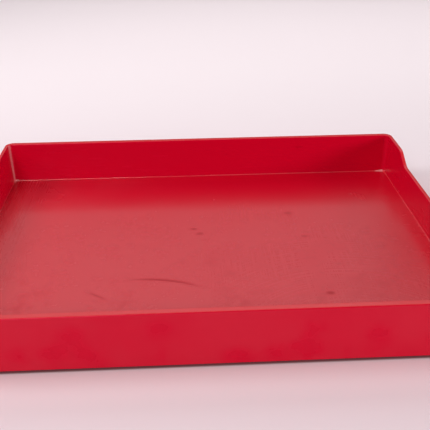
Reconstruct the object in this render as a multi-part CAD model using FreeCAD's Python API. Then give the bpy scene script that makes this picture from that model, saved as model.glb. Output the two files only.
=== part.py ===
"""Developing tray for 11 x 14 inch (28 x 36 cm) prints, built up from rigid plastic sheet.

Four straight walls are joined to four rounded corner pieces by half-lap joints and cemented. The floor
panel is let into a rebate that runs round the foot of the walls, and a narrow fillet of cement seals the
floor to the walls on the inside. The front and back walls are thick sheet, the two side walls are thinner,
and each side wall has a dipped rim between two S-shaped ramps. Four soft feet are plugged into blind
sockets under the floor panel, and hold the walls just clear of the bench.

Frame: +X along the length, +Y from the front wall to the back wall, +Z up. The origin is on the bench,
under the middle of the tray. Millimetres and degrees.
"""

import FreeCAD, Part  # FreeCAD has to be imported before Part

import math
import os

from FreeCAD import Vector

# ---------------------------------------------------------------- driving dimensions
SHEET_LENGTH = 356.0        # the print: 14 inches
SHEET_WIDTH = 279.0         # the print: 11 inches
SHEET_ROOM_X = 5.0          # free space between the print and a side wall
SHEET_ROOM_Y = 3.5          # free space between the print and the front or back wall

FOOT_STANDOFF = 1.8         # gap between the walls and the bench
FLOOR_THICKNESS = 3.0
WALL_HEIGHT = 40.3          # from the foot of a wall to its rim
DIP_HEIGHT = 31.0           # from the foot of a side wall to its dipped rim
END_WALL_THICKNESS = 5.3    # front and back walls
SIDE_WALL_THICKNESS = 3.2
FLARE_ANGLE = 2.0           # how far each wall leans outwards

INNER_CORNER_RADIUS = 3.0   # in plan, at floor level
OUTER_CORNER_RADIUS = 6.3   # in plan, at the foot of the walls
RIM_ROUNDING = 0.8
FOOT_EDGE_ROUNDING = 0.6    # outer bottom edge of the walls

RAMP_START = 38.2           # from the end of the floor to where a dip's ramp leaves the full height
RAMP_ANGLE = 26.0
RAMP_BLEND_RADIUS = 17.5

CORNER_LEG = 7.0            # straight stretch of a corner piece past its arc, along each wall
LAP_LENGTH = 5.0            # overlap of a half-lap joint
SEAM_FILLET_LEG = 1.2

FOOT_DIAMETER = 18.0
FOOT_EDGE_RADIUS = 0.4
FOOT_INSET = 26.0           # from the edges of the floor to a foot's centre
SPIGOT_DIAMETER = 8.0
SPIGOT_LENGTH = 1.6
SOCKET_CLEARANCE = 0.05     # radial, filled by cement
SOCKET_EXTRA_DEPTH = 0.2

# ---------------------------------------------------------------- derived sizes
FLOOR_HALF_X = SHEET_LENGTH / 2 + SHEET_ROOM_X
FLOOR_HALF_Y = SHEET_WIDTH / 2 + SHEET_ROOM_Y
Z_WALL_FOOT = FOOT_STANDOFF
Z_FLOOR = Z_WALL_FOOT + FLOOR_THICKNESS
Z_RIM = Z_WALL_FOOT + WALL_HEIGHT
Z_DIP = Z_WALL_FOOT + DIP_HEIGHT
LEAN = math.tan(math.radians(FLARE_ANGLE))

OVERRUN = 1.0               # how far a cutting shape passes the face that it cuts
CLEAR_OF_TRAY = 60.0        # reach of a cutting shape that is open on one side


def mirror_x(shape):
    return shape.mirror(Vector(0, 0, 0), Vector(1, 0, 0))


def mirror_y(shape):
    return shape.mirror(Vector(0, 0, 0), Vector(0, 1, 0))


def prism(section, start, length, along_x):
    """Extrudes a section of (across, z) points level along X or along Y, from start over length."""
    if along_x:
        points = [Vector(start, across, z) for across, z in section]
        run = Vector(length, 0, 0)
    else:
        points = [Vector(across, start, z) for across, z in section]
        run = Vector(0, length, 0)
    return Part.Face(Part.makePolygon(points + points[:1])).extrude(run)


def splayed_block(half_x, half_y, radius, z_ref, z_low, z_high, slope=LEAN):
    """A rounded block whose four sides splay outwards by slope as they rise.

    half_x, half_y and radius are its sizes in plan at z_ref. Each corner's centre stays on one vertical
    line, so the corner is a right cone that is tangent to the two sides beside it.
    """
    low, high = slope * (z_low - z_ref), slope * (z_high - z_ref)
    centre_x, centre_y = half_x - radius, half_y - radius

    def bar(half_width, half_length, along_x):
        section = [(-half_width - low, z_low), (half_width + low, z_low),
                   (half_width + high, z_high), (-half_width - high, z_high)]
        return prism(section, -half_length, 2 * half_length, along_x)

    block = bar(half_x, centre_y, along_x=False).fuse(bar(half_y, centre_x, along_x=True))
    for sign_x in (-1, 1):
        for sign_y in (-1, 1):
            base = Vector(sign_x * centre_x, sign_y * centre_y, z_low)
            block = block.fuse(Part.makeCone(radius + low, radius + high, z_high - z_low, base))
    return block.removeSplitter()


def dip_cutter():
    """What is cut away above the dipped rims: one bar across the tray, with an S-shaped ramp at each end."""
    slope = math.radians(RAMP_ANGLE)
    tangent = RAMP_BLEND_RADIUS * math.tan(slope / 2)
    swing = RAMP_BLEND_RADIUS * math.sin(slope / 2)
    sag = RAMP_BLEND_RADIUS * (1 - math.cos(slope / 2))
    top_y = FLOOR_HALF_Y - RAMP_START
    low_y = top_y - (Z_RIM - Z_DIP) / math.tan(slope)
    reach = FLOOR_HALF_X + CLEAR_OF_TRAY

    above = Vector(-reach, top_y + tangent, Z_RIM + CLEAR_OF_TRAY)
    crest = Vector(-reach, top_y + tangent, Z_RIM)
    crest_middle = Vector(-reach, crest.y - swing, Z_RIM - sag)
    ramp_top = Vector(-reach, top_y - tangent * math.cos(slope), Z_RIM - tangent * math.sin(slope))
    ramp_foot = Vector(-reach, low_y + tangent * math.cos(slope), Z_DIP + tangent * math.sin(slope))
    hollow = Vector(-reach, low_y - tangent, Z_DIP)
    hollow_middle = Vector(-reach, hollow.y + swing, Z_DIP + sag)

    back_end = [
        Part.makeLine(above, crest),
        Part.Arc(crest, crest_middle, ramp_top).toShape(),
        Part.makeLine(ramp_top, ramp_foot),
        Part.Arc(ramp_foot, hollow_middle, hollow).toShape(),
    ]
    front_end = [mirror_y(edge) for edge in back_end]
    level = [Part.makeLine(point, Vector(point.x, -point.y, point.z)) for point in (hollow, above)]
    outline = Part.Wire(Part.__sortEdges__(back_end + front_end + level))
    return Part.Face(outline).extrude(Vector(2 * reach, 0, 0))


def rim_edges(ring):
    """Both edges of the rim, ramps and dips included, but not the short joins that cross a side wall."""
    found = []
    for edge in ring.Edges:
        box = edge.BoundBox
        crosses_wall = box.YLength < OVERRUN / 10 and box.XLength < 2 * SIDE_WALL_THICKNESS
        if box.ZMin > Z_DIP - OVERRUN and not crosses_wall:
            found.append(edge)
    return found


def outer_foot_edges(ring):
    """The outer bottom edge of the ring."""
    middle_x = FLOOR_HALF_X + SIDE_WALL_THICKNESS / 2
    middle_y = FLOOR_HALF_Y + END_WALL_THICKNESS / 2
    found = []
    for edge in ring.Edges:
        middle = edge.valueAt((edge.FirstParameter + edge.LastParameter) / 2)
        outside = abs(middle.x) > middle_x or abs(middle.y) > middle_y
        corner_reach = math.hypot(abs(middle.x) - middle_x + OUTER_CORNER_RADIUS,
                                  abs(middle.y) - middle_y + OUTER_CORNER_RADIUS)
        on_outer_corner = edge.Length < 3 * OUTER_CORNER_RADIUS and corner_reach > OUTER_CORNER_RADIUS
        if edge.BoundBox.ZMax < Z_WALL_FOOT + OVERRUN / 10 and (outside or on_outer_corner):
            found.append(edge)
    return found


def wall_ring():
    """The walls and corners as one ring, with its dips and rounded edges, before it is divided."""
    foot_inset = LEAN * FLOOR_THICKNESS
    outside = splayed_block(FLOOR_HALF_X + SIDE_WALL_THICKNESS - foot_inset,
                            FLOOR_HALF_Y + END_WALL_THICKNESS - foot_inset,
                            OUTER_CORNER_RADIUS, Z_WALL_FOOT, Z_WALL_FOOT, Z_RIM)
    inside = splayed_block(FLOOR_HALF_X, FLOOR_HALF_Y, INNER_CORNER_RADIUS, Z_FLOOR,
                           Z_WALL_FOOT - OVERRUN, Z_RIM + OVERRUN)
    ring = outside.cut(inside).cut(dip_cutter()).removeSplitter()
    ring = ring.makeFillet(RIM_ROUNDING, rim_edges(ring))
    return ring.makeFillet(FOOT_EDGE_ROUNDING, outer_foot_edges(ring))


def floor_outline():
    """The floor panel without its sockets: it reaches half-way under every wall."""
    half_x = FLOOR_HALF_X + SIDE_WALL_THICKNESS / 2
    half_y = FLOOR_HALF_Y + END_WALL_THICKNESS / 2
    panel = Part.makeBox(2 * half_x, 2 * half_y, FLOOR_THICKNESS, Vector(-half_x, -half_y, Z_WALL_FOOT))
    upright = [edge for edge in panel.Edges if edge.BoundBox.ZLength > FLOOR_THICKNESS / 2]
    return panel.makeFillet((INNER_CORNER_RADIUS + OUTER_CORNER_RADIUS) / 2, upright)


def corner_space():
    """The space that the back right corner piece fills, with the tongues of its two half-lap joints."""
    z_low, z_high = Z_WALL_FOOT - OVERRUN, Z_RIM + OVERRUN
    joint_x = FLOOR_HALF_X - INNER_CORNER_RADIUS - CORNER_LEG
    joint_y = FLOOR_HALF_Y - INNER_CORNER_RADIUS - CORNER_LEG

    def tongue_space(half_floor, thickness, joint, along_x):
        """The outer half of a wall's thickness, over the length of the lap."""
        middle = half_floor + thickness / 2 - LEAN * Z_FLOOR
        far = half_floor + CLEAR_OF_TRAY
        section = [(middle + LEAN * z_low, z_low), (far, z_low), (far, z_high), (middle + LEAN * z_high, z_high)]
        return prism(section, joint - LAP_LENGTH, LAP_LENGTH + OVERRUN, along_x)

    space = Part.makeBox(CLEAR_OF_TRAY, CLEAR_OF_TRAY, z_high - z_low, Vector(joint_x, joint_y, z_low))
    space = space.fuse(tongue_space(FLOOR_HALF_Y, END_WALL_THICKNESS, joint_x, along_x=True))
    return space.fuse(tongue_space(FLOOR_HALF_X, SIDE_WALL_THICKNESS, joint_y, along_x=False))


def walls_and_corners():
    """Rebates the ring for the floor panel, and divides it at the laps into four walls and four corners."""
    ring = wall_ring().cut(floor_outline())
    back_right = corner_space()
    front_right = mirror_y(back_right)
    spaces = {
        "back_right_corner": back_right,
        "back_left_corner": mirror_x(back_right),
        "front_right_corner": front_right,
        "front_left_corner": mirror_x(front_right),
    }
    pieces = {name: ring.common(space) for name, space in spaces.items()}
    for space in spaces.values():
        ring = ring.cut(space)
    for wall in ring.Solids:
        middle = wall.CenterOfMass
        if abs(middle.y) > FLOOR_HALF_Y:
            pieces["back_wall" if middle.y > 0 else "front_wall"] = wall
        else:
            pieces["right_wall" if middle.x > 0 else "left_wall"] = wall
    return pieces


def seam_fillets():
    """The cement between the floor and the walls: four straight runs, mitred in the corners."""
    z_high = Z_FLOOR + SEAM_FILLET_LEG
    filled = splayed_block(FLOOR_HALF_X, FLOOR_HALF_Y, INNER_CORNER_RADIUS, Z_FLOOR, Z_FLOOR, z_high)
    hollow = splayed_block(FLOOR_HALF_X - SEAM_FILLET_LEG, FLOOR_HALF_Y - SEAM_FILLET_LEG,
                           INNER_CORNER_RADIUS - SEAM_FILLET_LEG, Z_FLOOR, Z_FLOOR, z_high, slope=1 + LEAN)
    bead = filled.cut(hollow)

    centre_x, centre_y = FLOOR_HALF_X - INNER_CORNER_RADIUS, FLOOR_HALF_Y - INNER_CORNER_RADIUS

    def trapezium(near, far):
        """What lies between two level lines, out to the 45 degree mitres of the corners at their ends."""
        corners = [Vector(*near, Z_FLOOR), Vector(*far, Z_FLOOR)]
        corners += [Vector(-v.x, v.y, v.z) for v in reversed(corners)]
        return Part.Face(Part.makePolygon(corners + corners[:1])).extrude(Vector(0, 0, CLEAR_OF_TRAY))

    step = CLEAR_OF_TRAY
    back = trapezium((centre_x - step, centre_y - step), (centre_x + step, centre_y + step))
    front = mirror_y(back)
    sides = bead.cut(back).cut(front)
    pieces = {"back_seam_fillet": bead.common(back), "front_seam_fillet": bead.common(front)}
    for run in sides.Solids:
        pieces["right_seam_fillet" if run.CenterOfMass.x > 0 else "left_seam_fillet"] = run
    return pieces


def foot_centres():
    """Each foot's name, and the middle of its face on the bench."""
    x, y = FLOOR_HALF_X - FOOT_INSET, FLOOR_HALF_Y - FOOT_INSET
    return {
        "front_left_foot": Vector(-x, -y, 0),
        "front_right_foot": Vector(x, -y, 0),
        "back_left_foot": Vector(-x, y, 0),
        "back_right_foot": Vector(x, y, 0),
    }


def foot(centre):
    """A low round pad with a spigot that plugs into the floor panel."""
    pad = Part.makeCylinder(FOOT_DIAMETER / 2, FOOT_STANDOFF, centre)
    worn_edge = [edge for edge in pad.Edges if edge.BoundBox.ZMax < FOOT_STANDOFF / 2]
    pad = pad.makeFillet(FOOT_EDGE_RADIUS, worn_edge)
    inside_pad = FOOT_STANDOFF / 2
    spigot = Part.makeCylinder(SPIGOT_DIAMETER / 2, FOOT_STANDOFF - inside_pad + SPIGOT_LENGTH,
                               centre + Vector(0, 0, inside_pad))
    return pad.fuse(spigot).removeSplitter()


def floor_panel():
    """The floor panel, with a blind socket over each foot."""
    panel = floor_outline()
    for centre in foot_centres().values():
        panel = panel.cut(Part.makeCylinder(SPIGOT_DIAMETER / 2 + SOCKET_CLEARANCE,
                                            OVERRUN + SPIGOT_LENGTH + SOCKET_EXTRA_DEPTH,
                                            centre + Vector(0, 0, Z_WALL_FOOT - OVERRUN)))
    return panel


def main():
    os.makedirs("parts", exist_ok=True)
    pieces = {"floor_panel": floor_panel()}
    pieces.update(walls_and_corners())
    pieces.update(seam_fillets())
    pieces.update({name: foot(centre) for name, centre in foot_centres().items()})
    for name, shape in sorted(pieces.items()):
        assert len(shape.Solids) == 1 and shape.isValid() and shape.Solids[0].isClosed(), name
        solid = shape.Solids[0]
        solid.exportStep(f"parts/{name}.step")
        box = solid.optimalBoundingBox()
        print(f"{name:20s} {box.XLength:7.2f} x {box.YLength:7.2f} x {box.ZLength:6.2f} mm, "
              f"{solid.Volume / 1000:7.2f} cm3")


main()
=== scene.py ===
# %% [markdown]
# # A red developing tray
#
# A developing tray is the shallow dish in which a photographic print lies in its solution. This one is
# built up from red plastic sheet: a floor, four walls and four rounded corner pieces, all cemented
# together. The lesson starts from the finished engineering model and gives it its looks: hand-laid
# cement in the seams, moulded feet, and plastic that has been wiped, scratched and fingered for years.
#
# The first cell loads the engineering model. Everything after it is measured from that model, so that
# no piece has to be fitted by eye. Distances are in metres, +X is to the right, +Y to the back, +Z up.

import math

import bmesh
import bpy
from mathutils import Matrix, Vector, noise


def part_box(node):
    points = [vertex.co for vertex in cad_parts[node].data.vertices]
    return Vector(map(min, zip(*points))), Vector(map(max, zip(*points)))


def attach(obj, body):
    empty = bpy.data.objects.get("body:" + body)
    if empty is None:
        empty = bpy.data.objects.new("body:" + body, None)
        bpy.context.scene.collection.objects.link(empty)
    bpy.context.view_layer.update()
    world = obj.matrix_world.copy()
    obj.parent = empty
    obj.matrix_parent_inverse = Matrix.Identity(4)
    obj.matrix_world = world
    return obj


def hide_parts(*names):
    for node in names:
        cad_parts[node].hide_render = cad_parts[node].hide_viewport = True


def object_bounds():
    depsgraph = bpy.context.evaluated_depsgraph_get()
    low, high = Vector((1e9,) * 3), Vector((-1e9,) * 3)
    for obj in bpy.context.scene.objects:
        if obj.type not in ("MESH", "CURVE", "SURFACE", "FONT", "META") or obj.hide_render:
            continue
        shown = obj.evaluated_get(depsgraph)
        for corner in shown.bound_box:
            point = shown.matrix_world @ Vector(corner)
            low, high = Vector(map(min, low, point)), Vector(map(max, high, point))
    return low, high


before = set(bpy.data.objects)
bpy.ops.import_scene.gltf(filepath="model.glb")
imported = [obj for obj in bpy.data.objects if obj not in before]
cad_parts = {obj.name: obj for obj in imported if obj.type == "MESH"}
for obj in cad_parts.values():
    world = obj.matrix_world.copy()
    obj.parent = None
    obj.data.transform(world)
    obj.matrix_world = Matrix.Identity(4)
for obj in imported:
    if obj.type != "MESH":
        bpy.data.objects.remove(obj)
cad_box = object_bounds()
MM = 0.001
print("tray:", [f"{size / MM:.1f} mm" for size in cad_box[1] - cad_box[0]])

# %% [markdown]
# The seam and the marks need to know where the floor ends. A wall leans outwards, so its lowest inner
# edge, which is where it meets the floor, is the innermost point of its box. The lean of the walls and
# the radius of the inner corners can't be read from a box, so these two are repeated from the model.

# %% Measure the floor and the walls
floor_half_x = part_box("right_wall")[0].x
floor_half_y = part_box("back_wall")[0].y
floor_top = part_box("floor_panel")[1].z
wall_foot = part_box("front_wall")[0].z
rim_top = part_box("front_wall")[1].z
wall_lean = math.tan(math.radians(2.0))
inner_corner_radius = 3.0 * MM
print(f"floor: {2 * floor_half_x / MM:.0f} x {2 * floor_half_y / MM:.0f} mm, top at {floor_top / MM:.1f} mm")
print(f"walls: from {wall_foot / MM:.1f} to {rim_top / MM:.1f} mm")

# %% [markdown]
# ## Shader sums in plain Python
#
# A worn surface is a sum of masks: where a cloth has wiped, where a finger has been. In the shader
# editor each plus and minus is a Math node to place and wire by hand. The class below wraps one socket,
# so that `0.3 + 0.1 * wiped` adds those nodes by itself, and its `add` method makes every other kind of
# node from its settings and the values of its inputs.


# %% Wrap a socket so that sums add nodes
def input_socket(node, key):
    """An input of a node, by its place or by its name among the inputs that the settings leave in use."""
    if isinstance(key, int):
        return node.inputs[key]
    return next(socket for socket in node.inputs if socket.enabled and socket.name == key)


class Wire:
    """What one socket gives, inside one material."""

    def __init__(self, tree, socket=None):
        self.tree = tree
        self.socket = socket

    def add(self, kind, settings=None, inputs=None, output=0):
        """Adds a node, and gives one of its outputs."""
        node = self.tree.nodes.new(kind)
        for name, value in (settings or {}).items():
            setattr(node, name, value)
        for key, value in (inputs or {}).items():
            socket = input_socket(node, key)
            if isinstance(value, Wire):
                self.tree.links.new(value.socket, socket)
            else:
                socket.default_value = value
        return Wire(self.tree, node.outputs[output])

    def math(self, operation, other, flipped=False):
        pair = (other, self) if flipped else (self, other)
        return self.add("ShaderNodeMath", {"operation": operation}, dict(enumerate(pair)))

    def __add__(self, other):
        return self.math("ADD", other)

    def __sub__(self, other):
        return self.math("SUBTRACT", other)

    def __rsub__(self, other):
        return self.math("SUBTRACT", other, flipped=True)

    def __mul__(self, other):
        return self.math("MULTIPLY", other)

    __radd__ = __add__
    __rmul__ = __mul__

    def size(self):
        """How far this is from zero."""
        return self.math("ABSOLUTE", 0.0)

    def between(self, low, high):
        """A smooth step: 0 where this is below low, 1 where it is above high."""
        return self.add("ShaderNodeMapRange", {"interpolation_type": "SMOOTHSTEP"},
                        {"Value": self, "From Min": low, "From Max": high})

    def mixed(self, first, second):
        """This as the factor between two colours."""
        return self.add("ShaderNodeMix", {"data_type": "RGBA"}, {"Factor": self, "A": first, "B": second},
                        output=2)


print("shader sums ready")

# %% [markdown]
# Every finish starts in the same way: an empty material, its output, one Principled shader, and the
# position of the point that is being coloured. All of the tray's pieces have their origin at the
# tray's own origin, so this position is also the place on the tray, and a streak can run from a wall
# piece into a corner piece without a break.


# %% Start a material
class Finish:
    """A material on one Principled shader, with the masks that the tray's finishes are made from."""

    def __init__(self, name):
        self.material = bpy.data.materials.new(name)
        self.material.use_nodes = True
        tree = self.material.node_tree
        tree.nodes.clear()
        self.start = Wire(tree)
        self.place = self.start.add("ShaderNodeTexCoord", output="Object")
        self.shader = tree.nodes.new("ShaderNodeBsdfPrincipled")
        output = tree.nodes.new("ShaderNodeOutputMaterial")
        tree.links.new(self.shader.outputs["BSDF"], output.inputs["Surface"])

    def axis(self, letter, vector=None):
        """One coordinate of the place, in metres, or one part of another vector."""
        return self.start.add("ShaderNodeSeparateXYZ", inputs={"Vector": vector or self.place},
                              output=letter)

    def stretched(self, x, y, z):
        """The place with each axis scaled, to make a pattern finer along one of them."""
        return self.start.add("ShaderNodeVectorMath", {"operation": "MULTIPLY"},
                              {0: self.place, 1: (x, y, z)})

    def distance(self, spot, vector=None):
        """How far the place, or another vector, is from a spot."""
        return self.start.add("ShaderNodeVectorMath", {"operation": "DISTANCE"},
                              {0: vector or self.place, 1: spot}, output="Value")

    def cloud(self, scale, detail=3.0, vector=None, distortion=0.0, roughness=0.5):
        """Soft noise from 0 to 1, with about `scale` lumps in a metre."""
        return self.start.add("ShaderNodeTexNoise", inputs={
            "Vector": vector or self.place, "Scale": scale, "Detail": detail, "Distortion": distortion,
            "Roughness": roughness})

    def near(self, spot, reach, squash=(1, 1, 1)):
        """1 at a spot and 0 at reach from it, or nearer along an axis that is squashed by more than 1."""
        squashed_spot = [value * factor for value, factor in zip(spot, squash)]
        return 1 - self.distance(squashed_spot, self.stretched(*squash)).between(0.0, reach)

    def set(self, **values):
        """Sets or links the shader's inputs: base_color is the input that the editor calls Base Color."""
        for name, value in values.items():
            socket = self.shader.inputs[name.replace("_", " ").title().replace("Ior", "IOR")]
            if isinstance(value, Wire):
                self.start.tree.links.new(value.socket, socket)
            else:
                socket.default_value = value

    def emboss(self, height, depth):
        """Raises the surface by height, a mask from 0 to 1, times depth in metres."""
        bump = self.start.add("ShaderNodeBump", inputs={"Height": height, "Distance": depth})
        self.set(normal=bump)


print("finish ready")

# %% [markdown]
# ## The red sheet
#
# The sheet is coloured right through, so its red is one even base colour. What makes it look used is what
# lies on it: a thin pale film where rinse water has dried, which a cloth has partly wiped away. Painting
# that film into a picture would need the sheet unwrapped. It is mixed in by masks instead, which are
# worked out from the place on the tray and can be made as fine as the cloth's own threads.
#
# The pigment lies close under the surface, so what reflects straight back from a wall is tinted red, and
# only a low, grazing reflection is white. That is what the specular tint is for.

# %% Colours of the sheet
SHEET_RED = (0.548, 0.0008, 0.0150, 1.0)
WALL_RED = (0.595, 0.0004, 0.0200, 1.0)
# a paler red for whatever faces up on the rim: a painted sheen
RIM_PAINTED_SHEEN = (0.61, 0.025, 0.028, 1.0)
DEEP_RED = (0.30, 0.0004, 0.0070, 1.0)
# the pale pink of dried film, also used for the painted corner highlight and the cement's painted glints
DRIED_FILM_AND_PAINTED_GLINT = (0.74, 0.26, 0.265, 1.0)
SHEET_IOR = 1.42
SHEET_ROUGHNESS = 0.22
RED_SHEEN = (1.0, 0.25, 0.42, 1.0)
print("sheet red:", SHEET_RED[:3])

# %% [markdown]
# ## Marks on the floor of the tray
#
# Three kinds of mark are made here. A cloth leaves fine streaks along its stroke: noise that is stretched
# along the stroke. A cloth that is turned leaves arcs: noise that depends only on the distance from the
# hand's pivot. And a dropped tongs tip or a dragged edge leaves a nick or a long curved scratch: a narrow
# band round a circle, faded out at both ends. The places and sizes of marks are given in millimetres.


# %% Streaks, arcs and scratches
def on_floor(x, y):
    """The spot on the floor that is x and y millimetres from its middle."""
    return (x * MM, y * MM, floor_top)


def streaks(finish, across, along, low, high):
    """Front-to-back strokes: about `across` of them in a metre, each about 1 / along metres long."""
    return finish.cloud(1.0, detail=2.0, vector=finish.stretched(across, along, along)).between(low, high)


def arcs(finish, pivot, rings, low, high, middle, reach):
    """Arcs round a pivot, about `rings` of them in a metre, plainest at their middle."""
    away = finish.distance(on_floor(*pivot))
    uneven = finish.start.add("ShaderNodeTexNoise", {"noise_dimensions": "1D"},
                              {"W": away, "Scale": rings, "Detail": 2.0})
    return uneven.between(low, high) * finish.near(on_floor(*middle), reach * MM)


def scratch(finish, centre, radius, width, middle, reach):
    """A part of a circle, deepest at its middle and gone at reach from there."""
    off_line = (finish.distance(on_floor(*centre)) - radius * MM).size()
    return (1 - off_line.between(0.0, width * MM)) * finish.near(on_floor(*middle), reach * MM)


print("marks ready")

# %% [markdown]
# The large marks are five nicks, two curved scratches, a few finger smudges, and the arcs of two wipes,
# one at the front right and a fainter one along the left edge. A nick or a smudge is an x, a y and a size.

# %% Where the large marks are
NICKS = [(-10, 30, 2.6), (-5, 21, 3.0), (74, 55, 3.4), (82, 11, 2.4), (87, -76, 3.2)]
NICK_SQUASH = (0.55, 0.8, 1.0)
SCRATCHES = [
    {"centre": (-52, -136), "radius": 87, "width": 2.6, "middle": (-33, -52), "reach": 46},
    {"centre": (-200, -231), "radius": 200, "width": 1.3, "middle": (-82, -69), "reach": 15},
]
SMUDGES = [(-128, -72, 20), (-141, -84, 15), (-60, -84, 20), (20, -80, 26), (118, -70, 26)]
RIGHT_WIPE = {"pivot": (96, -150), "rings": 420.0, "low": 0.45, "high": 0.70,
              "middle": (90, -55), "reach": 100}
LEFT_WIPE = {"pivot": (-420, -60), "rings": 260.0, "low": 0.50, "high": 0.70,
             "middle": (-175, 10), "reach": 100}
print(len(NICKS), "nicks,", len(SCRATCHES), "scratches,", len(SMUDGES), "smudges, 2 wipes")

# %% [markdown]
# The fine streaks don't cover the whole floor. They begin left of the middle, are patchy, and stop short
# of the back. Each pair below says where a mask begins to change and where it has changed fully.

# %% Where the floor is worn
STREAKS_BEGIN_X = (-90 * MM, 60 * MM)
STREAKS_STOP_Y = (50 * MM, 110 * MM)
LEFT_EDGE_X = (-176 * MM, -140 * MM)
FRONT_HALF_Y = (-40 * MM, 100 * MM)
UPPER_FACE_Z = (floor_top - 0.6 * MM, floor_top - 0.1 * MM)
DRIED_CORNER = {"spot": on_floor(-150, 120), "reach": 100 * MM, "squash": (0.7, 1.0, 1.0)}
print("streaks from x =", STREAKS_BEGIN_X[0] / MM, "to the right, up to y =", STREAKS_STOP_Y[1] / MM, "mm")

# %% [markdown]
# ## The floor finish
#
# The floor is the part that works hardest. It is glossy enough to mirror the back wall softly, and the
# wear shows as changes in that mirror, more than as changes in colour. So most masks here go to the
# roughness, a little goes to the colour as dried film, and the nicks and scratches also dent the surface.
# The nicks, the scratches and the darkening by smudges are kept to the upper face, because a mask round a
# spot would otherwise reach through the thin floor to its underside.


# %% Floor finish
def floor_damage(finish):
    """The nicks and scratches as one mask, and the smudges as another."""
    hurt = 0
    for x, y, size in NICKS:
        hurt = hurt + finish.near(on_floor(x, y), size * MM, squash=NICK_SQUASH)
    for mark in SCRATCHES:
        hurt = hurt + scratch(finish, **mark)
    smudges = 0
    for x, y, size in SMUDGES:
        patchy = finish.cloud(150.0).between(0.42, 0.62)
        smudges = smudges + finish.near(on_floor(x, y), size * MM) * patchy
    return hurt.between(0.0, 1.0) * finish.axis("Z").between(*UPPER_FACE_Z), smudges


def floor_finish():
    finish = Finish("floor_red")
    across, deep, up = (finish.axis(letter) for letter in "XYZ")
    left_edge = 1 - across.between(*LEFT_EDGE_X)
    front_half = 1 - deep.between(*FRONT_HALF_Y)
    busy = across.between(*STREAKS_BEGIN_X) * (1 - deep.between(*STREAKS_STOP_Y))
    busy = busy * finish.cloud(14.0, detail=2.0).between(0.35, 0.60)

    strokes = streaks(finish, 520.0, 9.0, 0.40, 0.66)
    wiped = strokes * busy
    fine = streaks(finish, 1500.0, 26.0, 0.35, 0.70) * busy
    turned = arcs(finish, **RIGHT_WIPE) + 0.5 * arcs(finish, **LEFT_WIPE)
    clouds = finish.cloud(16.0, detail=3.0)
    spots = finish.cloud(120.0, detail=4.0, roughness=0.6).between(0.50, 0.72)
    hurt, smudges = floor_damage(finish)

    left_behind = finish.near(**DRIED_CORNER) * clouds.between(0.3, 0.7)
    film = 0.003 * wiped + 0.003 * fine + 0.030 * left_behind + 0.006 * turned
    dark = 0.22 * spots * busy * front_half + 0.16 * smudges * up.between(*UPPER_FACE_Z) + 0.62 * hurt
    roughness = (SHEET_ROUGHNESS + 0.08 * clouds + 0.008 * wiped + 0.010 * fine + 0.03 * turned
                 + 0.05 * spots * front_half + 0.05 * strokes * left_edge + 0.08 * smudges + 0.28 * hurt)
    finish.set(base_color=dark.mixed(film.mixed(SHEET_RED, DRIED_FILM_AND_PAINTED_GLINT), DEEP_RED), roughness=roughness,
               ior=SHEET_IOR)

    waves = finish.cloud(13.0, detail=1.0)
    height = 0.80 * waves + 0.0015 * wiped + 0.001 * fine + 0.01 * spots * busy - 0.24 * hurt
    finish.emboss(height, 0.12 * MM)
    return finish.material


floor_red = floor_finish()
print("floor finish:", len(floor_red.node_tree.nodes), "nodes")

# %% [markdown]
# ## The wall finish
#
# Walls and corner pieces share one finish, and it is worked out from the place on the tray, so it runs
# across the joints between them. Three things are added to the red. The outside carries the pale film,
# wiped off in patches low on the front wall, where hands take hold of the tray. The rim was sawn and then
# polished, and whatever faces up is painted paler, a painted sheen for the pale light that its top mirrors;
# its rounded edges have been rubbed by every hand until they shine. And a pale line is painted down the
# back left corner as a painted highlight, picked out by the direction that the rounded corner faces.
#
# A lap joint has been scraped flush and polished, and shows only as a hair-thin line, a little darker and
# duller than the sheet. The corner piece's tongue is the outer half of the lap, so on the outside the line
# lies one lap's length further from the corner. There is one dark scuff, on the inside of the back wall.
#
# Each of the GRIPS is an x, a height and a size in millimetres. What lies further from the middle of the
# tray than OUTSIDE_X or OUTSIDE_Y is on the outside.

# %% Where the walls are marked
GRIPS = [(-118, 14, 13), (-99, 15, 11), (-81, 12, 12), (-88, 27, 15), (-34, 30, 14), (12, 7, 13),
         (42, 11, 12), (56, 13, 13), (62, 27, 13), (104, 20, 17)]
WIPED_LOW_Z = (8 * MM, 26 * MM)
SCUFF = {"spot": (96.5 * MM, floor_half_y, 32.5 * MM), "reach": 6.0 * MM, "squash": (1.0, 1.0, 3.5)}
# where the painted highlight down the back left corner fades in, along Y
CORNER_HIGHLIGHT_Y = (50 * MM, 100 * MM)
CORNER_LEG = 7.0 * MM
LAP_LENGTH = 5.0 * MM
LAP_LINE = 0.25 * MM
OUTSIDE_X = (floor_half_x + 2.0 * MM, floor_half_x + 3.0 * MM)
OUTSIDE_Y = (floor_half_y + 3.6 * MM, floor_half_y + 4.6 * MM)
print(len(GRIPS), "places where hands hold the tray, 1 scuff")


# %% Wiped patches and joint lines
def hand_marks(finish):
    """1 where hands have wiped the film off the front wall."""
    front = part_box("front_wall")[0].y
    held = 0
    for x, z, size in GRIPS:
        held = held + finish.near((x * MM, front, z * MM), size * MM, squash=(0.8, 1.0, 1.0))
    held = held * finish.cloud(70.0, detail=3.0).between(0.20, 0.60)
    low = 0.8 * finish.cloud(34.0, detail=4.0, distortion=0.8).between(0.42, 0.72)
    low = low * (1 - finish.axis("Z").between(*WIPED_LOW_Z))
    return (held + low).between(0.0, 1.0)


def lap_lines(finish, outside):
    """1 on the thin lines where the walls meet the corner pieces."""
    leg = CORNER_LEG + LAP_LENGTH * outside
    off_x = (finish.axis("X").size() - (floor_half_x - inner_corner_radius) + leg).size()
    off_y = (finish.axis("Y").size() - (floor_half_y - inner_corner_radius) + leg).size()
    return 1 - off_x.math("MINIMUM", off_y).between(0.0, LAP_LINE)


print("wall marks ready")
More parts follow.
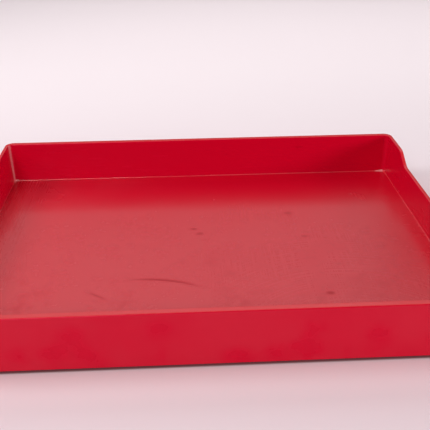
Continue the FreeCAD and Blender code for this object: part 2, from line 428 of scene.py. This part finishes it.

# %% [markdown]
# The masks are then mixed as on the floor: first the film and the painted corner highlight, then the rim's
# painted sheen, then what is dark.


# %% Wall finish
def wall_finish():
    finish = Finish("wall_red")
    normal = finish.start.add("ShaderNodeNewGeometry", output="Normal")
    facing_x, facing_y, facing_up = (finish.axis(letter, normal) for letter in "XYZ")
    rim = facing_up.between(0.72, 0.96)
    rubbed = facing_up.between(0.12, 0.45) * (1 - rim)
    outside = finish.axis("X").size().between(*OUTSIDE_X)
    outside = outside.math("MAXIMUM", finish.axis("Y").size().between(*OUTSIDE_Y))
    outside = outside * (1 - facing_up.between(0.2, 0.6))

    clouds = finish.cloud(22.0, detail=3.0, distortion=0.4)
    fine = finish.cloud(240.0, detail=3.0, roughness=0.6)
    strokes = finish.cloud(1.0, detail=2.0, vector=finish.stretched(26.0, 26.0, 170.0)).between(0.4, 0.7)
    joint = lap_lines(finish, outside)
    # a painted highlight: a pale line down the back left corner, where the rounded corner faces right and a
    # little forwards
    painted_corner_highlight = facing_x.between(0.55, 0.80) * (0 - facing_y).between(0.02, 0.14)
    painted_corner_highlight = painted_corner_highlight * finish.axis("Y").between(*CORNER_HIGHLIGHT_Y)

    dry_outside = outside * (1 - hand_marks(finish))
    # the film, with the painted corner highlight added to it
    film = dry_outside * (0.018 + 0.018 * clouds.between(0.35, 0.65)) + 0.62 * painted_corner_highlight
    # whatever faces up on the rim gets the paler red, a painted sheen
    red = rim.mixed(film.mixed(WALL_RED, DRIED_FILM_AND_PAINTED_GLINT), RIM_PAINTED_SHEEN)
    dark = 0.12 * joint * (1 - rim) + 0.4 * finish.near(**SCUFF)
    roughness = (SHEET_ROUGHNESS + 0.06 * clouds + 0.12 * dry_outside + 0.03 * strokes
                 - 0.04 * rim - 0.06 * rubbed + 0.10 * joint)
    finish.set(base_color=dark.mixed(red, DEEP_RED), roughness=roughness, ior=SHEET_IOR,
               specular_tint=RED_SHEEN)
    finish.emboss(0.85 * finish.cloud(15.0, detail=1.0) + 0.02 * fine + 0.04 * rim * fine, 0.10 * MM)
    return finish.material


wall_red = wall_finish()
print("wall finish:", len(wall_red.node_tree.nodes), "nodes")

# %% [markdown]
# A CAD piece keeps its shape and only gets its finish, in the material slot that it already has.


# %% Give the CAD pieces their finish
def paint(node, material):
    node.data.materials.clear()
    node.data.materials.append(material)


for name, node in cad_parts.items():
    if name == "floor_panel":
        paint(node, floor_red)
    elif name.endswith(("_wall", "_corner")):
        paint(node, wall_red)
print("floor, walls and corners painted")

# %% [markdown]
# ## The cement in the seams
#
# Where the floor meets the walls, a maker runs a bead of cement along the angle and draws a round tool
# through it. The cement is the same red plastic, melted in solvent. It dries glossier and a little paler
# than the sheet, with the faint ripple of the tool. In the two back corners, where it has pooled, it is
# painted pale, a painted glint of the lamps. Along the right of the back seam it is duller.


# %% Cement finish
CEMENT_RED = (0.60, 0.002, 0.018, 1.0)


def cement_finish():
    finish = Finish("cement_red")
    ripple = finish.cloud(220.0, detail=2.0)
    dull = finish.near((100 * MM, floor_half_y, floor_top), 130 * MM).between(0.0, 0.5)
    dull = dull + 0.3 * finish.cloud(30.0).between(0.45, 0.75)
    back_left = (-floor_half_x, floor_half_y, floor_top)
    by_back_right = (floor_half_x - 5.0 * MM, floor_half_y, floor_top)
    # painted glints: pale patches in the two back corners, where the pooled cement catches the lamps
    painted_glints = 0.45 * finish.near(back_left, 7.0 * MM).between(0.0, 0.6)
    painted_glints = painted_glints + 0.85 * finish.near(by_back_right, 5.5 * MM).between(0.0, 0.5)
    pale = 0.03 + 0.06 * ripple + painted_glints
    finish.set(base_color=pale.mixed(CEMENT_RED, DRIED_FILM_AND_PAINTED_GLINT), roughness=0.10 + 0.08 * ripple + 0.35 * dull,
               ior=1.5)
    finish.emboss(ripple, 0.05 * MM)
    return finish.material


seam_cement = cement_finish()
print("cement finish:", len(seam_cement.node_tree.nodes), "nodes")

# %% [markdown]
# The bead that is left is hollow-faced, a little wider in one place than in another, and pooled in the
# corners. The engineering model has only a straight chamfer there.
#
# A bevelled curve could follow the seam, but its round section would bulge. Instead one hollow section is
# drawn at the corner's mitre, spun round half of the corner, pushed along the wall in short steps that
# each make it a little wider or narrower, and spun round half of the next corner. Extruding the end face
# leaves no face behind inside the bead, so it stays closed.

# %% Shape of a bead
BEAD_LEG = 0.6 * MM
POOL = 2.6
POOL_FADE = 4 * MM
STEADY_END = 15 * MM
HOLLOW_STEPS = 6
RUN_STEP = 3.0 * MM
CORNER_STEPS = 5


def bead_width(place, half_length, seed):
    """How wide the bead is at a place along its run, next to its plain width."""
    to_end = half_length - abs(place)
    pooled = (POOL - 1) * math.exp(-to_end / POOL_FADE)
    steady = min(1.0, to_end / STEADY_END)
    slow = 0.16 * noise.noise(Vector((place * 34, seed, 0.0)))
    quick = 0.07 * noise.noise(Vector((place * 150, seed, 5.0)))
    return 1 + pooled + steady * (slow + quick)


def bead_section(shape, centre):
    """The hollow three-sided section, standing on the corner's mitre as one face."""
    outward = Vector((math.cos(math.pi / 4), math.sin(math.pi / 4), 0.0))

    def corner(inward, up):
        return shape.verts.new(centre + outward * (inner_corner_radius - inward + wall_lean * up)
                               + Vector((0.0, 0.0, up)))

    leg = BEAD_LEG * POOL
    verts = [corner(0.0, 0.0)]
    for step in range(HOLLOW_STEPS + 1):
        turn = math.pi / 2 * step / HOLLOW_STEPS
        verts.append(corner(leg * (1 - math.sin(turn)), leg * (1 - math.cos(turn))))
    return shape.faces.new(verts)


print(f"bead: {BEAD_LEG / MM} mm legs, {BEAD_LEG * POOL / MM:.2f} mm in the corners")

# %% [markdown]
# Every new piece is handed over in the same way. It rides on the tray, and it takes the place of a piece of
# the engineering model.


# %% Make an object of a shape
def add_piece(name, shape, material, slot, *nodes):
    """Makes an object from a bmesh, smooth-shaded with its sharp edges kept, in place of CAD nodes."""
    bmesh.ops.recalc_face_normals(shape, faces=shape.faces)
    for face in shape.faces:
        face.smooth = True
    for edge in shape.edges:
        edge.smooth = edge.calc_face_angle(0.0) < math.radians(35)
    mesh = bpy.data.meshes.new(name)
    shape.to_mesh(mesh)
    shape.free()
    mesh.materials.append(material)
    piece = bpy.data.objects.new(name, mesh)
    bpy.context.scene.collection.objects.link(piece)
    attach(piece, "root")
    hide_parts(*nodes)
    return piece


print("piece maker ready")

# %% [markdown]
# One function lays a bead at the back, and turns it by quarter turns to the side that it is meant for.
# Each bead has its own seed, so no two are uneven in the same places.


# %% Lay the four beads
def first_face(geometry):
    return next(item for item in geometry if isinstance(item, bmesh.types.BMFace))


def turn_half_corner(shape, face, centre):
    """Spins the end face round half of a corner, and gives the face that ends the turn."""
    spun = bmesh.ops.spin(shape, geom=[face, *face.edges, *face.verts], cent=centre, axis=(0, 0, 1),
                          angle=math.pi / 4, steps=CORNER_STEPS)
    return first_face(spun["geom_last"])


def lay_bead(name, half_length, half_width, quarter_turns, seed):
    """A bead along the +Y side of a floor, turned about the middle of the tray to the side it is for."""
    shape = bmesh.new()
    run = half_length - inner_corner_radius
    centre = Vector((run, half_width - inner_corner_radius, floor_top))
    face = turn_half_corner(shape, bead_section(shape, centre), centre)

    steps = round(2 * run / RUN_STEP)
    places = [run - 2 * run * step / steps for step in range(steps + 1)]
    for before, now in zip(places, places[1:]):
        face = first_face(bmesh.ops.extrude_face_region(shape, geom=[face])["geom"])
        bmesh.ops.translate(shape, verts=face.verts, vec=(now - before, 0, 0))
        wider = bead_width(now, run, seed) / bead_width(before, run, seed)
        foot = Vector((now, half_width, floor_top))
        bmesh.ops.scale(shape, verts=face.verts, vec=(wider, wider, wider), space=Matrix.Translation(-foot))
    turn_half_corner(shape, face, (-run, centre.y, centre.z))
    bmesh.ops.rotate(shape, verts=shape.verts, cent=(0, 0, 0),
                     matrix=Matrix.Rotation(math.pi / 2 * quarter_turns, 3, "Z"))
    return add_piece(name, shape, seam_cement, "seam_cement", name.replace("bead", "fillet"))


for turns, side in enumerate(("back", "left", "front", "right")):
    half_sizes = (floor_half_x, floor_half_y) if side in ("back", "front") else (floor_half_y, floor_half_x)
    bead = lay_bead(f"{side}_seam_bead", *half_sizes, quarter_turns=turns, seed=turns + 1.0)
    print(bead.name, len(bead.data.polygons), "faces")

# %% [markdown]
# ## The feet
#
# Four soft vinyl pads lift the floor off the bench. Vinyl is duller than the sheet and darker, because it
# soaks up what is spilt on the bench. The face that touches the bench is scuffed grey.

# %% Vinyl finish
VINYL_RED = (0.30, 0.008, 0.016, 1.0)
SOAKED_RED = (0.16, 0.010, 0.014, 1.0)
SCUFFED_GREY = (0.33, 0.20, 0.20, 1.0)


def vinyl_finish():
    finish = Finish("foot_vinyl")
    grain = finish.cloud(900.0, detail=3.0)
    dirt = finish.cloud(180.0, detail=4.0).between(0.45, 0.7)
    worn = (1 - finish.axis("Z").between(0.0, 0.15 * MM)) * (0.35 + 0.5 * dirt)
    red = (0.5 * dirt).mixed(VINYL_RED, SOAKED_RED)
    finish.set(base_color=worn.mixed(red, SCUFFED_GREY), roughness=0.55 + 0.2 * grain + 0.1 * worn, ior=1.5)
    finish.emboss(grain, 0.02 * MM)
    return finish.material


foot_vinyl = vinyl_finish()
print("vinyl finish:", len(foot_vinyl.node_tree.nodes), "nodes")

# %% [markdown]
# A pad is moulded: it is round, with a plug on top that goes into the floor, a hollow underneath that
# grips the bench, and a fine groove round the hollow. All of that is one outline turned about an axis,
# which is what the spin operator does. The outline is given as radius and height.

# %% Outline of a foot
FOOT_FACETS = 64
ROUNDING = 0.4 * MM
foot_low, foot_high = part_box("front_left_foot")
foot_radius = (foot_high.x - foot_low.x) / 2
plug_radius = 4.0 * MM
foot_outline = [
    # the hollow, and the ridge round it that stands on the bench
    (0.0, 0.55 * MM), (5.4 * MM, 0.45 * MM), (5.9 * MM, 0.0), (6.5 * MM, 0.0),
    # the groove
    (6.7 * MM, 0.22 * MM), (7.1 * MM, 0.22 * MM), (7.3 * MM, 0.0),
    # the side, the top and the plug
    (foot_radius, 0.0), (foot_radius, wall_foot),
    (plug_radius, wall_foot), (plug_radius, foot_high.z), (0.0, foot_high.z),
]
print(f"foot: {2 * foot_radius / MM:.1f} mm across, {wall_foot / MM:.1f} mm high, with a plug of "
      f"{(foot_high.z - wall_foot) / MM:.1f} mm")

# %% [markdown]
# A moulded rim is never sharp, so the upper and lower rims of the pad's side are rounded after the spin.


# %% Make the feet
def foot_pad(name):
    """Makes a pad that takes the place of a plain foot."""
    low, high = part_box(name)
    middle = (low + high) / 2
    shape = bmesh.new()
    verts = [shape.verts.new((middle.x + radius, middle.y, height)) for radius, height in foot_outline]
    edges = [shape.edges.new(pair) for pair in zip(verts, verts[1:])]
    bmesh.ops.spin(shape, geom=verts + edges, cent=(middle.x, middle.y, 0), axis=(0, 0, 1),
                   angle=2 * math.pi, steps=FOOT_FACETS, use_merge=True)
    bmesh.ops.remove_doubles(shape, verts=shape.verts, dist=0.001 * MM)
    rims = [edge for edge in shape.edges if edge.calc_face_angle(0.0) > math.radians(60)
            and abs((edge.verts[0].co - middle).xy.length - foot_radius) < 0.01 * MM]
    bmesh.ops.bevel(shape, geom=rims, offset=ROUNDING, segments=4, profile=0.5, affect="EDGES", material=-1)
    return add_piece(name.replace("foot", "foot_pad"), shape, foot_vinyl, "foot_vinyl", name)


for foot in [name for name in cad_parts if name.endswith("_foot")]:
    pad = foot_pad(foot)
    print(pad.name, len(pad.data.polygons), "faces")

# %% [markdown]
# ## The studio
#
# The tray stands on a large sheet of pale card. The card is a stage, not part of the tray. Its colour is
# painted a little pinker near the camera and paler behind, a painted fall-off of the light from the side
# along a long sweep of paper. Under the tray a painted shadow darkens it, so that a firm line of shadow
# shows below the walls.


# %% Table
# the near and far card colours are a painted fall-off of the light, pinker near the camera, paler behind
CARD_NEAR = (0.790, 0.655, 0.695, 1.0)
CARD_FAR = (0.97, 0.850, 0.885, 1.0)
# the dark red-grey of the painted shadow under the tray
CARD_PAINTED_SHADOW = (0.26, 0.09, 0.10, 1.0)
TABLE_HALF_SIZE = 6.0
tray_half = cad_box[1]


def card_finish():
    finish = Finish("table_card")
    across, deep = finish.axis("X"), finish.axis("Y")
    # painted light: the card's colour runs from pinker near the camera to paler behind
    card = deep.between(-0.25, 0.60).mixed(CARD_NEAR, CARD_FAR)
    # a painted shadow: the card is darkened within the tray's footprint, so a dark line shows below the
    # walls
    painted_shadow = 1 - across.size().between(tray_half.x - 3.0 * MM, tray_half.x - 1.0 * MM)
    painted_shadow = painted_shadow * (1 - deep.size().between(tray_half.y - 2.6 * MM, tray_half.y - 0.2 * MM))
    fibre = finish.cloud(500.0, detail=3.0)
    finish.set(base_color=painted_shadow.mixed(card, CARD_PAINTED_SHADOW), roughness=0.55 + 0.1 * fibre)
    return finish.material


def table():
    shape = bmesh.new()
    bmesh.ops.create_grid(shape, x_segments=1, y_segments=1, size=TABLE_HALF_SIZE)
    mesh = bpy.data.meshes.new("table")
    shape.to_mesh(mesh)
    shape.free()
    mesh.materials.append(card_finish())
    made = bpy.data.objects.new("table", mesh)
    bpy.context.scene.collection.objects.link(made)
    return made


print("stage:", table().name)

# %% [markdown]
# ## The light
#
# A shiny tray shows its lamps as much as its own colour, so every lamp here is a large soft one, as in a
# studio for small products. Three of them light the reds: one on the left, one at the front, and one low
# at the front right, which rakes over the right wall and shades the floor behind it. The floor is seen at
# a low angle, so what it mirrors is the panel that stands behind the tray, and that panel is what makes
# its red look frosted. A panel overhead, a little to the left, lifts the card, and a long lamp behind
# the tray, aimed straight down, keeps the background bright. The room itself is left almost dark.
#
# Each lamp is placed by the direction and the height in degrees that it shines from, as a photographer
# would say it, and the softbox is turned to face the tray.

# %% Light
world = bpy.data.worlds.new("studio")
world.use_nodes = True
room = world.node_tree.nodes["Background"]
room.inputs["Color"].default_value = (1.0, 0.985, 0.985, 1.0)
room.inputs["Strength"].default_value = 0.12
bpy.context.scene.world = world


def lamp(name, place, aim, size, power):
    """An area lamp at a place, turned to face the point that it is aimed at."""
    light = bpy.data.lights.new(name, "AREA")
    light.shape = "RECTANGLE"
    (light.size, light.size_y), light.energy = size, power
    made = bpy.data.objects.new(name, light)
    made.location = place
    made.rotation_euler = (Vector(aim) - Vector(place)).to_track_quat("-Z", "Y").to_euler()
    bpy.context.scene.collection.objects.link(made)


def softbox(name, towards, height_angle, distance, size, power):
    """A lamp as seen from the tray: towards is 0 at the front, 90 on the right and 180 behind."""
    turn, rise = math.radians(towards), math.radians(height_angle)
    place = Vector((math.sin(turn) * math.cos(rise), -math.cos(turn) * math.cos(rise), math.sin(rise)))
    lamp(name, distance * place, (0, 0, 0), size, power)


softbox("left_softbox", 270, 35, 1.6, (0.5, 0.5), 10.8)
softbox("front_softbox", 342, 35, 2.2, (0.7, 0.7), 17.5)
softbox("right_softbox", 60, 14.5, 2.0, (0.55, 0.5), 17.5)
softbox("back_panel", 183, 30.5, 2.0, (1.65, 0.44), 2.38)
softbox("overhead_panel", 270, 76, 1.9, (1.7, 1.7), 7.6)
lamp("card_lamp", (0.75, 0.9, 0.9), (0.75, 0.9, 0.0), (2.6, 0.7), 8.2)

# %% [markdown]
# ## The camera
#
# The camera looks down on the tray from the front, at about 27 degrees, and is turned a little to the
# right and rolled by half a degree, as a camera held in the hand is.

# %% Camera
FOCAL_LENGTH = 59.84
CAMERA_PLACE = (-0.0151, -0.5090, 0.2875)
TURNED_RIGHT, LOOKS_DOWN, ROLLED = 2.495, 26.59, 0.591
lens = bpy.data.cameras.new("camera")
lens.lens = FOCAL_LENGTH
lens.clip_start, lens.clip_end = 0.01, 20.0
camera = bpy.data.objects.new("camera", lens)
camera.matrix_world = (Matrix.Translation(CAMERA_PLACE)
                       @ Matrix.Rotation(math.radians(-TURNED_RIGHT), 4, "Z")
                       @ Matrix.Rotation(math.radians(90 - LOOKS_DOWN), 4, "X")
                       @ Matrix.Rotation(math.radians(-ROLLED), 4, "Z"))
bpy.context.scene.collection.objects.link(camera)
bpy.context.scene.camera = camera
bpy.context.scene.view_settings.view_transform = "Standard"
print("camera:", [round(value, 3) for value in camera.location])
